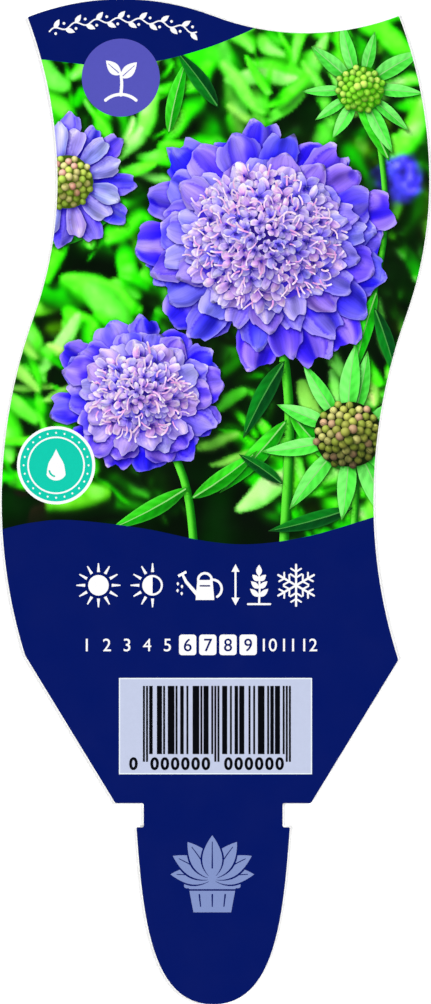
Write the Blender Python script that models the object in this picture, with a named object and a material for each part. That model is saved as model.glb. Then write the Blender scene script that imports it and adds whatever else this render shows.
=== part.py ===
# Plastic plant label: one flat die-cut sheet with a waved blade and a barbed tongue.
# It lies face up. +X is to the right of the printed face, +Y towards the blade's top edge
# and +Z out of the printed face. The origin is on the back face, in the middle of its box.
import math

import bmesh
import bpy
from mathutils import Vector

MM = 0.001

# Driving dimensions
SHEET_THICKNESS = 0.5 * MM
LABEL_LENGTH = 171.0 * MM           # crest of the top edge to the tip of the tongue
BLADE_WIDTH = 63.3 * MM             # across the blade, between its two alike waved sides

# Each side is an S of tangent arcs: it bulges to the right high up and to the left low down.
# The radius of the arc that runs from the S's middle to the lower bulge follows from these.
SIDE_SWAY = 9.5 * MM                # sideways from one bulge to the other
UPPER_BULGE_DROP = 31.0 * MM        # below the crest
LOWER_BULGE_DROP = 85.5 * MM
ABOVE_BULGES_RADIUS = 79.0 * MM
UPPER_BULGE_RADIUS = 68.0 * MM
BELOW_BULGES_RADIUS = 87.5 * MM

# The top edge is a wave of two arcs of one radius, a crest and a valley
CREST_X = -15.9 * MM
VALLEY_X = 15.4 * MM
VALLEY_DROP = 5.8 * MM

# Two slanted edges narrow the blade to its shoulder, and a short neck joins the tongue
SLANT_ANGLE = math.radians(31.4)    # from the label's length
SHOULDER_DROP = 136.8 * MM
SHOULDER_WIDTH = 33.3 * MM
NECK_WIDTH = 23.7 * MM
NECK_HEIGHT = 4.0 * MM
TONGUE_WIDTH = 26.2 * MM            # over the barbs
TONGUE_AXIS_X = -0.4 * MM

# Handles of the curve from a barb to the tip: half width, and share of the way down
TONGUE_UPPER_HANDLE = (12.0 * MM, 0.5)
TONGUE_LOWER_HANDLE = (10.7 * MM, 1.0)
TONGUE_STEPS = 24

# Finish of the die-cut edge
CORNER_RADIUS = 0.25 * MM
CORNER_SEGMENTS = 3
CORNER_TURN = math.radians(10)      # a point of the outline that turns more is a corner
RIM_BEVEL = 0.05 * MM
RIM_ANGLE = math.radians(45)
ARC_STEP = 2.0 * MM

CREST_Y = LABEL_LENGTH / 2
LEFT_BULGE_X = -(BLADE_WIDTH + SIDE_SWAY) / 2
PRINTED_NAVY = (0.0, 0.0103, 0.1356, 1.0)


def remove_all_objects():
    for old in list(bpy.data.objects):
        bpy.data.objects.remove(old, do_unlink=True)


def radii_sum(along, across):
    """Sum of the radii of two tangent arcs whose bulges are this far apart."""
    return (along ** 2 + across ** 2) / (2 * across)


def meet_circles(centre_a, radius_a, centre_b, radius_b, near):
    """The crossing of two circles that is nearest to the point near."""
    between = centre_b - centre_a
    gap = between.length
    along = (gap ** 2 + radius_a ** 2 - radius_b ** 2) / (2 * gap)
    aside = math.sqrt(radius_a ** 2 - along ** 2)
    foot = centre_a + between.normalized() * along
    off = between.normalized().orthogonal() * aside
    return min((foot + off, foot - off), key=lambda p: (p - near).length)


def meet_line(centre, radius, point, direction, near):
    """The crossing of a circle and a line that is nearest to the point near."""
    direction = direction.normalized()
    to_foot = (centre - point).dot(direction)
    foot = point + direction * to_foot
    half = math.sqrt(radius ** 2 - (foot - centre).length_squared)
    ends = (foot + direction * half, foot - direction * half)
    return min(ends, key=lambda p: (p - near).length)


def arc(centre, start, end):
    """Points from start to end the short way round centre, without the end point."""
    spoke = start - centre
    turn = -spoke.angle_signed(end - centre)
    count = max(2, math.ceil(abs(turn) * spoke.length / ARC_STEP))
    points = []
    for i in range(count):
        angle = turn * i / count
        cos, sin = math.cos(angle), math.sin(angle)
        points.append(centre + Vector((spoke.x * cos - spoke.y * sin,
                                       spoke.x * sin + spoke.y * cos)))
    return points


def tongue_half(side, top_y, tip_y):
    """Points of one edge of the tongue, from its barb to the tip. side is -1 or 1."""
    length = top_y - tip_y
    handles = [(TONGUE_WIDTH / 2, 0.0), TONGUE_UPPER_HANDLE, TONGUE_LOWER_HANDLE, (0.0, 1.0)]
    points = []
    for i in range(TONGUE_STEPS + 1):
        t = i / TONGUE_STEPS
        weights = ((1 - t) ** 3, 3 * t * (1 - t) ** 2, 3 * t * t * (1 - t), t ** 3)
        half = sum(w * h[0] for w, h in zip(weights, handles))
        down = sum(w * h[1] for w, h in zip(weights, handles))
        points.append(Vector((TONGUE_AXIS_X + side * half, top_y - down * length)))
    return points


def blade_side(shift, top_arc, top_arc_radius, shoulder, slant):
    """Points of one waved side from its top corner down to where it meets the slanted edge.
    top_arc is the centre of the arc of the top edge that ends in the corner."""
    middle_radius = radii_sum(LOWER_BULGE_DROP - UPPER_BULGE_DROP, SIDE_SWAY) - UPPER_BULGE_RADIUS
    upper_bulge = Vector((LEFT_BULGE_X + SIDE_SWAY + shift, CREST_Y - UPPER_BULGE_DROP))
    lower_bulge = Vector((LEFT_BULGE_X + shift, CREST_Y - LOWER_BULGE_DROP))
    above = upper_bulge - Vector((ABOVE_BULGES_RADIUS, 0.0))
    upper = upper_bulge - Vector((UPPER_BULGE_RADIUS, 0.0))
    middle = lower_bulge + Vector((middle_radius, 0.0))
    below = lower_bulge + Vector((BELOW_BULGES_RADIUS, 0.0))
    join = upper + (middle - upper).normalized() * UPPER_BULGE_RADIUS
    corner = meet_circles(top_arc, top_arc_radius, above, ABOVE_BULGES_RADIUS,
                          Vector((lower_bulge.x, CREST_Y)))
    end = meet_line(below, BELOW_BULGES_RADIUS, shoulder, slant, lower_bulge)
    points = arc(above, corner, upper_bulge)
    points += arc(upper, upper_bulge, join)
    points += arc(middle, join, lower_bulge)
    points += arc(below, lower_bulge, end)
    return points + [end]


def label_outline():
    """The outline, anticlockwise as the printed face is seen, from its top left corner."""
    top_radius = radii_sum(VALLEY_X - CREST_X, VALLEY_DROP) / 2
    crest = Vector((CREST_X, CREST_Y - top_radius))
    valley = Vector((VALLEY_X, CREST_Y - VALLEY_DROP + top_radius))
    top_join = (crest + valley) / 2

    shoulder_y = CREST_Y - SHOULDER_DROP
    tongue_y = shoulder_y - NECK_HEIGHT
    tip_y = CREST_Y - LABEL_LENGTH
    shoulder_left = Vector((TONGUE_AXIS_X - SHOULDER_WIDTH / 2, shoulder_y))
    shoulder_right = Vector((TONGUE_AXIS_X + SHOULDER_WIDTH / 2, shoulder_y))
    slant_left = Vector((-math.sin(SLANT_ANGLE), math.cos(SLANT_ANGLE)))
    slant_right = Vector((math.sin(SLANT_ANGLE), math.cos(SLANT_ANGLE)))
    neck_left = TONGUE_AXIS_X - NECK_WIDTH / 2
    neck_right = TONGUE_AXIS_X + NECK_WIDTH / 2

    left_side = blade_side(0.0, crest, top_radius, shoulder_left, slant_left)
    right_side = blade_side(BLADE_WIDTH, valley, top_radius, shoulder_right, slant_right)
    top_left, top_right = left_side[0], right_side[0]

    outline = left_side + [shoulder_left]
    outline += [Vector((neck_left, shoulder_y)), Vector((neck_left, tongue_y))]
    outline += tongue_half(-1, tongue_y, tip_y)
    outline += tongue_half(1, tongue_y, tip_y)[-2::-1]
    outline += [Vector((neck_right, tongue_y)), Vector((neck_right, shoulder_y))]
    outline += [shoulder_right] + right_side[:0:-1]
    outline += arc(valley, top_right, top_join)
    outline += arc(crest, top_join, top_left)
    return outline


def turn_at(vert):
    """How far the outline turns at one of its points."""
    into, out_of = (edge.other_vert(vert).co - vert.co for edge in vert.link_edges)
    return math.pi - into.angle(out_of)


def label_plastic():
    material = bpy.data.materials.new("label_plastic")
    material.use_nodes = True
    shader = material.node_tree.nodes["Principled BSDF"]
    shader.inputs["Base Color"].default_value = PRINTED_NAVY
    shader.inputs["Roughness"].default_value = 0.4
    shader.inputs["Metallic"].default_value = 0.0
    return material


def make_label_sheet():
    mesh = bpy.data.meshes.new("label_sheet")
    bm = bmesh.new()
    back = bm.faces.new([bm.verts.new((p.x, p.y, 0.0)) for p in label_outline()])
    corners = [vert for vert in back.verts if turn_at(vert) > CORNER_TURN]
    bmesh.ops.bevel(bm, geom=corners, offset=CORNER_RADIUS, offset_type="OFFSET",
                    segments=CORNER_SEGMENTS, profile=0.5, affect="VERTICES")
    raised = bmesh.ops.extrude_face_region(bm, geom=list(bm.faces))
    raised_verts = [item for item in raised["geom"] if isinstance(item, bmesh.types.BMVert)]
    bmesh.ops.translate(bm, vec=(0.0, 0.0, SHEET_THICKNESS), verts=raised_verts)
    bmesh.ops.recalc_face_normals(bm, faces=bm.faces)
    bm.to_mesh(mesh)
    bm.free()
    mesh.materials.append(label_plastic())

    sheet = bpy.data.objects.new("label_sheet", mesh)
    bpy.context.collection.objects.link(sheet)
    rim = sheet.modifiers.new("rim", "BEVEL")
    rim.width = RIM_BEVEL
    rim.segments = 2
    rim.limit_method = "ANGLE"
    rim.angle_limit = RIM_ANGLE
    mesh.shade_smooth()
    mesh.set_sharp_from_angle(angle=RIM_ANGLE)
    return sheet


remove_all_objects()
make_label_sheet()
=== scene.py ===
import math
import random

import bmesh
import bpy
import numpy as np
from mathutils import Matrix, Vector, geometry


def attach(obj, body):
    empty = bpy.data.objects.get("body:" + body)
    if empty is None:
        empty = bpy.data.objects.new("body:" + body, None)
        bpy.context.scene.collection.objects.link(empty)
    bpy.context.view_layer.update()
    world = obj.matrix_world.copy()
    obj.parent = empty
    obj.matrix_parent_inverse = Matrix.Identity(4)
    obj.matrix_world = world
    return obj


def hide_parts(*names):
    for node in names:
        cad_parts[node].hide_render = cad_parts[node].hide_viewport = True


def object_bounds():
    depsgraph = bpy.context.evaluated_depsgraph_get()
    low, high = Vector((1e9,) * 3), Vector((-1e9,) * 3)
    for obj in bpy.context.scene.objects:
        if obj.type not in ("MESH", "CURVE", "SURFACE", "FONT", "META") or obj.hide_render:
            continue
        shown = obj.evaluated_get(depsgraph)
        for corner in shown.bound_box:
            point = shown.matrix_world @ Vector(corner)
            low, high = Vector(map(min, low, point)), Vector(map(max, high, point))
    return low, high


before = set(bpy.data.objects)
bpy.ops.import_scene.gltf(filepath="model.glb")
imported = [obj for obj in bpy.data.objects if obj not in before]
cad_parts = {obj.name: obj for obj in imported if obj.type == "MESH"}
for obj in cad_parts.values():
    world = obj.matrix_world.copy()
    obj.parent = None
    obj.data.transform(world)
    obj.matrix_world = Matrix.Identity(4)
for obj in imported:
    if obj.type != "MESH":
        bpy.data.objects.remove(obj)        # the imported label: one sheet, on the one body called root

mm = 0.001
cadLow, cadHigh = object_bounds()
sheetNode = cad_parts["label_sheet"]
print("frame loaded, label box in mm:", [round(v / mm, 2) for v in cadHigh - cadLow])

# Drawing below is in millimetres on the printed face, x to the right and y to the top edge.
# Colours are screen values from 0 to 255 until they reach a material.


# Camera, straight above the label, filling the image with it
camera = {"lens": 100.0, "sensor": 36.0, "imageHeight": 1004, "mmPerPixel": 0.17, "centre": (0.0, -0.04)}

cameraData = bpy.data.cameras.new("label_camera")
cameraData.lens = camera["lens"]
cameraData.sensor_width = camera["sensor"]
cameraObject = bpy.data.objects.new("label_camera", cameraData)
viewHeight = camera["imageHeight"] * camera["mmPerPixel"] * mm
cameraObject.location = (camera["centre"][0] * mm, camera["centre"][1] * mm,
                         cadHigh.z + viewHeight * camera["lens"] / camera["sensor"])
bpy.context.collection.objects.link(cameraObject)
bpy.context.scene.camera = cameraObject
bpy.context.scene.view_settings.view_transform = "Standard"


# Light: two soft suns from the sides, low enough to keep their gloss out of the camera, in a studio that is
# bright at the horizon and dim overhead
light = {"sunPower": 2.36, "sunHeight": 40.0, "sunSides": (-62.0, 118.0), "sunSize": 24.0,
         "horizon": 0.9, "overhead": 0.02, "dimAbove": 0.42}

for index, side in enumerate(light["sunSides"]):
    sunData = bpy.data.lights.new(f"soft_sun_{index}", "SUN")
    sunData.energy = light["sunPower"]
    sunData.angle = math.radians(light["sunSize"])
    sun = bpy.data.objects.new(f"soft_sun_{index}", sunData)
    sun.rotation_euler = (math.radians(90 - light["sunHeight"]), 0.0, math.radians(side))
    bpy.context.collection.objects.link(sun)
world = bpy.data.worlds.new("pale_studio")
world.use_nodes = True
sky = world.node_tree
direction = sky.nodes.new("ShaderNodeTexCoord")
parts = sky.nodes.new("ShaderNodeSeparateXYZ")
dimming = sky.nodes.new("ShaderNodeMapRange")
dimming.inputs["From Max"].default_value = light["dimAbove"]
dimming.inputs["To Min"].default_value = light["horizon"]
dimming.inputs["To Max"].default_value = light["overhead"]
sky.links.new(direction.outputs["Generated"], parts.inputs[0])
sky.links.new(parts.outputs["Z"], dimming.inputs["Value"])
sky.links.new(dimming.outputs["Result"], sky.nodes["Background"].inputs["Strength"])
sky.nodes["Background"].inputs["Color"].default_value = (1.0, 1.0, 1.0, 1.0)
bpy.context.scene.world = world
print("camera and light set")


# Colour and noise helpers

def linearColour(screen):
    c = np.asarray(screen, float) / 255.0
    return np.where(c <= 0.04045, c / 12.92, ((c + 0.055) / 1.055) ** 2.4)


def smoothStep(value, low, high):
    t = np.clip((value - low) / (high - low), 0.0, 1.0)
    return t * t * (3.0 - 2.0 * t)


def blendTo(colour, other, share):
    share = np.asarray(share)[..., None]
    return colour * (1.0 - share) + np.asarray(other, float) * share


def softNoise(points, cell, seed):     # smooth random values from 0 to 1, one bump about every cell
    table = np.random.default_rng(seed).random((97, 97))
    grid = points / cell
    corner = np.floor(grid).astype(int)
    part = grid - corner
    part = part * part * (3.0 - 2.0 * part)
    i, j = corner[:, 0] % 97, corner[:, 1] % 97
    iNext, jNext = (i + 1) % 97, (j + 1) % 97
    low = table[i, j] * (1 - part[:, 0]) + table[iNext, j] * part[:, 0]
    high = table[i, jNext] * (1 - part[:, 0]) + table[iNext, jNext] * part[:, 0]
    return low * (1 - part[:, 1]) + high * part[:, 1]


# Outline helpers

def circle(x, y, radius, count=48):
    return [(x + radius * math.cos(2 * math.pi * i / count), y + radius * math.sin(2 * math.pi * i / count))
            for i in range(count)]


def arcPoints(x, y, radius, start, end, count=24):      # degrees, 0 to the right, anticlockwise
    angles = [math.radians(start + (end - start) * i / count) for i in range(count + 1)]
    return [(x + radius * math.cos(a), y + radius * math.sin(a)) for a in angles]


def smoothThrough(points, steps=8):     # a curve through the points, which it passes evenly
    ends = [points[0]] + list(points) + [points[-1]]
    line = []
    for a, b, c, d in zip(ends, ends[1:], ends[2:], ends[3:]):
        for i in range(steps):
            t = i / steps
            line.append(tuple(0.5 * (2 * q + (r - p) * t + (2 * p - 5 * q + 4 * r - s) * t * t
                                     + (3 * q - p - 3 * r + s) * t ** 3)
                              for p, q, r, s in zip(a, b, c, d)))
    return line + [tuple(points[-1])]


def stroke(points, width, taper=1.0, cap=4):    # a band along points with round ends; taper is the end's share
    left, right = [], []
    last = len(points) - 1
    for i, (x, y) in enumerate(points):
        before, after = points[max(i - 1, 0)], points[min(i + 1, last)]
        dx, dy = after[0] - before[0], after[1] - before[1]
        size = math.hypot(dx, dy) or 1.0
        half = width / 2 * (1 + (taper - 1) * i / last)
        left.append((x - dy / size * half, y + dx / size * half))
        right.append((x + dy / size * half, y - dx / size * half))
    heading = math.degrees(math.atan2(points[-1][1] - points[-2][1], points[-1][0] - points[-2][0]))
    start = math.degrees(math.atan2(points[1][1] - points[0][1], points[1][0] - points[0][0]))
    endCap = arcPoints(*points[-1], width / 2 * taper, heading - 90, heading + 90, cap)[1:-1]
    startCap = arcPoints(*points[0], width / 2, start + 90, start + 270, cap)[1:-1]
    return right + endCap + left[::-1] + startCap


def leafOutline(base, angle, length, width, bend=0.0, count=9):    # pointed at both ends
    along = Vector((math.cos(math.radians(angle)), math.sin(math.radians(angle))))
    across = Vector((-along.y, along.x))
    sides = ([], [])
    for i in range(count + 1):
        u = i / count
        half = width / 2 * math.sin(math.pi * u ** 0.85) ** 0.9 if 0 < i < count else 0.0
        middle = Vector(base) + along * u * length + across * bend * length * u * u
        sides[0].append(tuple(middle - across * half))
        sides[1].append(tuple(middle + across * half))
    return sides[0] + sides[1][-2:0:-1]


def roundedBox(left, bottom, right, top, radius, count=4):
    corners = [(right - radius, bottom + radius, -90), (right - radius, top - radius, 0),
               (left + radius, top - radius, 90), (left + radius, bottom + radius, 180)]
    return [p for x, y, start in corners for p in arcPoints(x, y, radius, start, start + 90, count)]


def turned(outline, angle, centre=(0.0, 0.0)):
    cos, sin = math.cos(math.radians(angle)), math.sin(math.radians(angle))
    return [(centre[0] + (x - centre[0]) * cos - (y - centre[1]) * sin,
             centre[1] + (x - centre[0]) * sin + (y - centre[1]) * cos) for x, y in outline]


def moved(outline, dx, dy, scale=1.0):
    return [(x * scale + dx, y * scale + dy) for x, y in outline]


def insideOutline(points, outline):     # for each point, True if it is inside the closed outline
    xa, ya = outline.T
    xb, yb = np.roll(outline, -1, axis=0).T
    x, y = points[:, 0, None], points[:, 1, None]
    crosses = (ya > y) != (yb > y)
    rise = np.where(yb == ya, 1.0, yb - ya)
    return ((crosses & (x < (xb - xa) * (y - ya) / rise + xa)).sum(axis=1) % 2).astype(bool)


# Films: the sheet, the print on it and the marks on that are thin closed layers, each on the last
layerTops = {"sheet": 0.44, "print": 0.46, "badge": 0.48, "mark": 0.50}


def anticlockwise(outline):
    doubleArea = sum(xa * yb - xb * ya for (xa, ya), (xb, yb) in zip(outline, outline[1:] + outline[:1]))
    return outline if doubleArea > 0 else outline[::-1]


def inkedTriangles(shapes):     # shapes cover each other in order; (outline, False) takes ink away
    points, faces = [], []
    for outline, _ in shapes:
        outline = anticlockwise(outline)
        faces.append(list(range(len(points), len(points) + len(outline))))
        points += [Vector(p) for p in outline]
    places, _, triangles, _, _, covers = geometry.delaunay_2d_cdt(points, [], faces, 1, 1e-5, True)
    kept = [t for t, cover in zip(triangles, covers) if cover and shapes[max(cover)][1]]
    return np.array([tuple(p) for p in places]), np.array(kept)


def rimOf(triangles):       # edges with a triangle on their left only
    edges = np.vstack((triangles[:, [0, 1]], triangles[:, [1, 2]], triangles[:, [2, 0]]))
    present = set(map(tuple, edges))
    return [(a, b) for a, b in map(tuple, edges) if (b, a) not in present]


def loopsOf(rim):
    follow = dict(rim)
    loops = []
    while follow:
        start, here = follow.popitem()
        loop = [start]
        while here != start:
            loop.append(here)
            here = follow.pop(here)
        loops.append(loop)
    return loops


def buildFilm(name, places, triangles, below, top, material, coarseBottom=False):
    used = np.unique(triangles)
    renumber = np.full(len(places), -1)
    renumber[used] = np.arange(len(used))
    places, triangles = places[used], renumber[triangles]
    count = len(places)
    rim = rimOf(triangles)
    if coarseBottom:
        loops = loopsOf(rim)
        order = [v for loop in loops for v in loop]
        fill = geometry.tessellate_polygon([[Vector((*places[v], 0.0)) for v in loop] for loop in loops])
        lower = {v: count + i for i, v in enumerate(order)}
        lowPlaces = places[order]
        bottom = []
        for a, b, c in fill:
            p, q, r = lowPlaces[a], lowPlaces[b], lowPlaces[c]
            if (q[0] - p[0]) * (r[1] - p[1]) > (q[1] - p[1]) * (r[0] - p[0]):
                b, c = c, b
            bottom.append((count + a, count + b, count + c))
    else:
        lower = {v: count + v for v in range(count)}
        lowPlaces = places
        bottom = [(count + a, count + c, count + b) for a, b, c in triangles.tolist()]
    walls = []
    for a, b in rim:
        walls += [(lower[a], lower[b], b), (lower[a], b, a)]
    faces = np.array(triangles.tolist() + walls + bottom)
    heights = np.concatenate((np.full(count, layerTops[top]), np.full(len(lowPlaces), layerTops[below])))
    corners = np.column_stack((np.vstack((places, lowPlaces)), heights)) * mm

    mesh = bpy.data.meshes.new(name)
    mesh.vertices.add(len(corners))
    mesh.vertices.foreach_set("co", corners.ravel())
    mesh.loops.add(faces.size)
    mesh.loops.foreach_set("vertex_index", faces.ravel())
    mesh.polygons.add(len(faces))
    mesh.polygons.foreach_set("loop_start", np.arange(0, faces.size, 3))
    mesh.update(calc_edges=True)
    mesh.validate()
    mesh.shade_flat()
    mesh.materials.append(material)
    piece = bpy.data.objects.new(name, mesh)
    bpy.context.collection.objects.link(piece)
    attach(piece, "root")
    return piece


def printMark(name, shapes, below, top, material):
    places, triangles = inkedTriangles(shapes)
    return buildFilm(name, places, triangles, below, top, material)


def digitTriangles(text, height, x, y, weight):      # plain figures, with their middle at x and foot at y
    curve = bpy.data.curves.new("figures", "FONT")
    curve.body = text
    curve.align_x = "CENTER"
    curve.resolution_u = 5
    curve.offset = weight
    curve.size = height / 0.7
    holder = bpy.data.objects.new("figures", curve)
    bpy.context.collection.objects.link(holder)
    mesh = bpy.data.meshes.new_from_object(holder.evaluated_get(bpy.context.evaluated_depsgraph_get()))
    bpy.data.objects.remove(holder, do_unlink=True)
    bpy.data.curves.remove(curve)
    bm = bmesh.new()
    bm.from_mesh(mesh)
    bmesh.ops.remove_doubles(bm, verts=bm.verts, dist=1e-4)
    bmesh.ops.triangulate(bm, faces=bm.faces)
    bm.verts.index_update()
    places = np.array([(v.co.x + x, v.co.y + y) for v in bm.verts])
    triangles = np.array([[v.index for v in f.verts] for f in bm.faces if f.calc_area() > 1e-9])
    bm.free()
    bpy.data.meshes.remove(mesh)
    a, b, c = (places[triangles[:, i]] for i in range(3))
    flipped = (b[:, 0] - a[:, 0]) * (c[:, 1] - a[:, 1]) < (b[:, 1] - a[:, 1]) * (c[:, 0] - a[:, 0])
    triangles[flipped] = triangles[flipped][:, ::-1]
    return places, triangles


def joined(parts):      # several sets of triangles as one
    places, triangles, count = [], [], 0
    for partPlaces, partTriangles in parts:
        places.append(partPlaces)
        triangles.append(partTriangles + count)
        count += len(partPlaces)
    return np.vstack(places), np.vstack(triangles)


# Materials. One group gives ink and plastic alike their fine mottle, gloss changes and grain.

def newGroup(name, inputs, outputs):
    group = bpy.data.node_groups.new(name, "ShaderNodeTree")
    for socketName, kind, value in inputs:
        socket = group.interface.new_socket(socketName, in_out="INPUT", socket_type=kind)
        socket.default_value = value
    for socketName, kind in outputs:
        group.interface.new_socket(socketName, in_out="OUTPUT", socket_type=kind)
    return group, group.nodes.new("NodeGroupInput"), group.nodes.new("NodeGroupOutput")


def addNode(tree, kind, links=None, **settings):       # links and values by the name or number of the input
    node = tree.nodes.new(kind)
    for key, value in settings.items():
        setattr(node, key, value)
    for key, value in (links or {}).items():
        if isinstance(value, bpy.types.NodeSocket):
            tree.links.new(value, node.inputs[key])
        else:
            node.inputs[key].default_value = value
    return node


def mathNode(tree, operation, first, second=0.0):
    return addNode(tree, "ShaderNodeMath", {0: first, 1: second}, operation=operation).outputs[0]


def buildSurfaceGrain():
    group, given, made = newGroup(
        "surfaceGrain",
        [("Colour", "NodeSocketColor", (1.0, 1.0, 1.0, 1.0)), ("Mottle", "NodeSocketFloat", 0.05),
         ("Mottle Scale", "NodeSocketFloat", 900.0), ("Gloss", "NodeSocketFloat", 0.35),
         ("Gloss Spread", "NodeSocketFloat", 0.1), ("Grain Scale", "NodeSocketFloat", 5000.0),
         ("Grain Height", "NodeSocketFloat", 0.002)],
        [("Colour", "NodeSocketColor"), ("Roughness", "NodeSocketFloat"), ("Normal", "NodeSocketVector")])
    place = addNode(group, "ShaderNodeTexCoord").outputs["Object"]
    mottle = addNode(group, "ShaderNodeTexNoise", {"Vector": place, "Scale": given.outputs["Mottle Scale"],
                                                   "Detail": 3.0, "Roughness": 0.6}).outputs["Fac"]
    swing = mathNode(group, "MULTIPLY", mathNode(group, "SUBTRACT", mottle, 0.5), given.outputs["Mottle"])
    level = mathNode(group, "ADD", mathNode(group, "MULTIPLY", swing, 2.0), 1.0)
    tint = addNode(group, "ShaderNodeVectorMath", {0: given.outputs["Colour"], "Scale": level}, operation="SCALE")
    broad = addNode(group, "ShaderNodeTexNoise", {"Vector": place, "Scale": 140.0, "Detail": 2.0}).outputs["Fac"]
    drift = mathNode(group, "MULTIPLY", mathNode(group, "SUBTRACT", broad, 0.5), given.outputs["Gloss Spread"])
    rough = addNode(group, "ShaderNodeMath", {0: given.outputs["Gloss"], 1: drift}, operation="ADD", use_clamp=True)
    grain = addNode(group, "ShaderNodeTexNoise", {"Vector": place, "Scale": given.outputs["Grain Scale"],
                                                  "Detail": 2.0}).outputs["Fac"]
    height = mathNode(group, "MULTIPLY", grain, given.outputs["Grain Height"])
    bump = addNode(group, "ShaderNodeBump", {"Height": height, "Distance": mm, "Strength": 1.0})
    group.links.new(tint.outputs["Vector"], made.inputs["Colour"])
    group.links.new(rough.outputs[0], made.inputs["Roughness"])
    group.links.new(bump.outputs["Normal"], made.inputs["Normal"])
    return group


def newMaterial(name, specular=0.25):
    material = bpy.data.materials.new(name)
    material.use_nodes = True
    shader = material.node_tree.nodes["Principled BSDF"]
    shader.inputs["Specular IOR Level"].default_value = specular
    return material, material.node_tree, shader


def grained(tree, shader, colour, values):      # colour is a screen value or a socket
    links = dict(values)
    links["Colour"] = colour if isinstance(colour, bpy.types.NodeSocket) else (*linearColour(colour), 1.0)
    grain = addNode(tree, "ShaderNodeGroup", node_tree=surfaceGrain)
    for key, value in links.items():
        if isinstance(value, bpy.types.NodeSocket):
            tree.links.new(value, grain.inputs[key])
        else:
            grain.inputs[key].default_value = value
    tree.links.new(grain.outputs["Colour"], shader.inputs["Base Color"])
    tree.links.new(grain.outputs["Roughness"], shader.inputs["Roughness"])
    tree.links.new(grain.outputs["Normal"], shader.inputs["Normal"])
    return grain


surfaceGrain = buildSurfaceGrain()

inkValues = {"Mottle": 0.04, "Mottle Scale": 1400.0, "Gloss": 0.31, "Gloss Spread": 0.12,
             "Grain Scale": 4200.0, "Grain Height": 0.0012}


def inkMaterial(name, colour):
    material, tree, shader = newMaterial(name)
    grained(tree, shader, colour, inkValues)
    return material


inks = {
    "white": inkMaterial("white_ink", (254, 254, 255)),
    "violet": inkMaterial("violet_ink", (86, 85, 187)),
    "teal": inkMaterial("teal_ink", (16, 206, 177)),
    "panel": inkMaterial("pale_panel_ink", (197, 205, 231)),
    "panelEdge": inkMaterial("panel_edge_ink", (240, 249, 255)),
    "black": inkMaterial("black_ink", (1, 2, 8)),
    "paleBlue": inkMaterial("pale_blue_ink", (131, 148, 200)),
    "navy": inkMaterial("navy_ink", (0, 20, 100)),
}
print("materials built")


# The sheet itself: white plastic under the print, on the CAD sheet's own outline
plasticSheet = {"colour": (244, 245, 243),
                "grain": {"Mottle": 0.015, "Mottle Scale": 500.0, "Gloss": 0.46, "Gloss Spread": 0.1,
                          "Grain Scale": 3000.0, "Grain Height": 0.003}}


def weldedSheet():
    bm = bmesh.new()
    bm.from_mesh(sheetNode.data)
    bmesh.ops.remove_doubles(bm, verts=bm.verts, dist=1e-6)
    return bm


def faceOutline():      # outline of the printed face, in mm, anticlockwise
    bm = weldedSheet()
    for face in bm.faces:
        face.tag = face.normal.z > 0.99 and face.calc_center_median().z > 0.9 * cadHigh.z
    edges = []
    for face in bm.faces:
        for loop in face.loops:
            if face.tag and not loop.link_loop_radial_next.face.tag:
                edges.append((loop.vert.index, loop.link_loop_next.vert.index))
    bm.verts.ensure_lookup_table()
    loops = loopsOf(edges)
    outline = [(bm.verts[i].co.x / mm, bm.verts[i].co.y / mm) for i in max(loops, key=len)]
    bm.free()
    return outline


def buildSheet():
    material, tree, shader = newMaterial("white_plastic", specular=0.4)
    grained(tree, shader, plasticSheet["colour"], plasticSheet["grain"])
    bm = weldedSheet()
    for vert in bm.verts:
        if vert.co.z > cadHigh.z / 2:
            vert.co.z += layerTops["sheet"] * mm - cadHigh.z
    mesh = bpy.data.meshes.new("plastic_sheet")
    bm.to_mesh(mesh)
    bm.free()
    mesh.materials.append(material)
    mesh.set_sharp_from_angle(angle=math.radians(40))
    piece = bpy.data.objects.new("plastic_sheet", mesh)
    bpy.context.collection.objects.link(piece)
    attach(piece, "root")
    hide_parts("label_sheet")
    return piece


labelOutline = np.array(faceOutline())
buildSheet()
print("plastic sheet built, outline points:", len(labelOutline))


# The printed front: one ink layer over the whole face, navy with a garden picture between
pictureFrame = {
    "navy": (0, 20, 100),
    "bandEdge": [(-30.6, 74.8), (-29.7, 75.2), (-24.4, 74.6), (-18.8, 74.1), (-10.1, 74.9), (-2.0, 77.0),
                 (4.2, 79.4), (6.9, 80.7), (8.0, 81.4)],
    "waveEdge": [(-37.5, -5.0), (-36.3, -4.7), (-31.5, -3.6), (-24.7, -3.1), (-12.5, -4.5), (-1.6, -6.7),
                 (6.5, -7.2), (16.1, -5.8), (26.9, -2.6), (28.5, -2.0)],
    "mapPitch": 0.10, "bloomPitch": 0.27, "gardenPitch": 0.34,
    "light": (-0.62, 0.78),
    "bloomShadow": (12, 2, 96), "leafShadow": (4, 34, 8), "gardenShadow": (2, 20, 3),
}
pictureLight = np.array(pictureFrame["light"])
draw = random.Random(2117)
drawn = []      # every shape of the picture, from the furthest to the nearest


def addShape(outline, shade, cast=1.0, shadowTone=pictureFrame["bloomShadow"]):
    drawn.append({"outline": np.array(outline), "shade": shade, "cast": cast, "shadowTone": shadowTone})


def vary(amount):
    return 1.0 + draw.uniform(-amount, amount)


def evenTone(tone, points):
    return np.tile(np.array(tone, float), (len(points), 1))


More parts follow.
